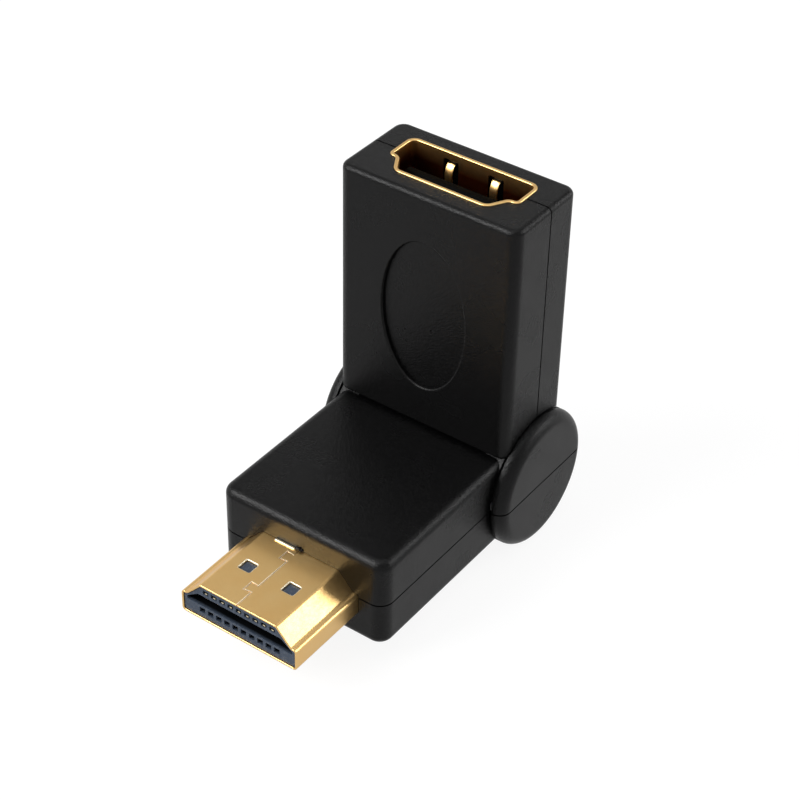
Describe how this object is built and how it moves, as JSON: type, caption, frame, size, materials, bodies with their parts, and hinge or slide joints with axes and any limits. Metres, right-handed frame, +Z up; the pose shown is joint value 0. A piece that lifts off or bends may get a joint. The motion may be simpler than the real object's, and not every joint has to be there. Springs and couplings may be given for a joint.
{
  "type": "swivel video connector adapter",
  "caption": "Right-angle video adapter with a gold-plated plug and a socket on two black housings that swivel on a hinge.",
  "frame": {"origin": "under the middle of the part, on the surface that it stands on", "axes": "+Z up along the socket half, +Y from the plug towards the hinge, +X along the hinge axis"},
  "size_m": [0.0232, 0.042, 0.0397],
  "materials": {
    "housing": "fine spark-eroded texture",
    "gold_plate": "polished gold plating on steel sheet",
    "plug_insulator": "moulded, slate blue-grey",
    "socket_insulator": "moulded, black",
    "contact": "gold flash",
    "board": "green solder mask",
    "wire": "insulated fine wires",
    "spring_steel": "spring steel",
    "bush_brass": "turned brass"
  },
  "bodies": {
    "plug_half": {"plug_housing_top": "housing", "plug_housing_bottom": "housing", "plug_shell": "gold_plate", "plug_insulator": "plug_insulator", "plug_contacts_upper": "contact", "plug_contacts_lower": "contact", "plug_board": "board", "wires_plug_side_left": "wire", "wires_plug_side_right": "wire", "disc_spring_left": "spring_steel", "disc_spring_right": "spring_steel"},
    "socket_half": {"socket_housing_front": "housing", "socket_housing_rear": "housing", "socket_shell": "gold_plate", "socket_tongue": "socket_insulator", "socket_contacts_upper": "contact", "socket_contacts_lower": "contact", "socket_board": "board", "wires_socket_side_left": "wire", "wires_socket_side_right": "wire", "pivot_bush_left": "bush_brass", "pivot_bush_right": "bush_brass"}
  },
  "joints": [
    {"name": "swivel", "type": "hinge", "parent": "plug_half", "child": "socket_half", "pos_m": [0, 0.01355, 0.00745], "axis": [-1, 0, 0], "range_deg": [0, 180]}
  ]
}
